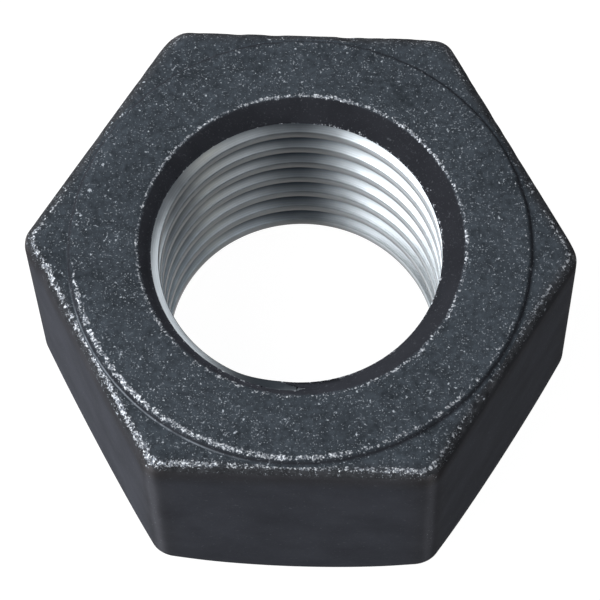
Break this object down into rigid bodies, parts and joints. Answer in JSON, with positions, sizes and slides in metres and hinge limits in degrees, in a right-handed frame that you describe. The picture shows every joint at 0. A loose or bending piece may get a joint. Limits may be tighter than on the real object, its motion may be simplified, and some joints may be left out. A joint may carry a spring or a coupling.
{
  "type": "heavy hexagon nut",
  "caption": "Heavy hexagon nut with a raised washer face on one side, a chamfer on the other, and a countersunk right-hand thread.",
  "frame": {"origin": "on the thread's axis, in the plane of the chamfered bearing side that the nut lies on", "axes": "+Z along the thread's axis towards the washer face, +X towards one of the six corners"},
  "size_m": [0.0626, 0.055, 0.0323],
  "materials": {
    "blued_steel": "satin blue-black oxide coat with worn bright edges; the thread is cut through the coat to bare steel"
  },
  "bodies": {
    "root": {"hex_nut": "blued_steel"}
  },
  "joints": []
}
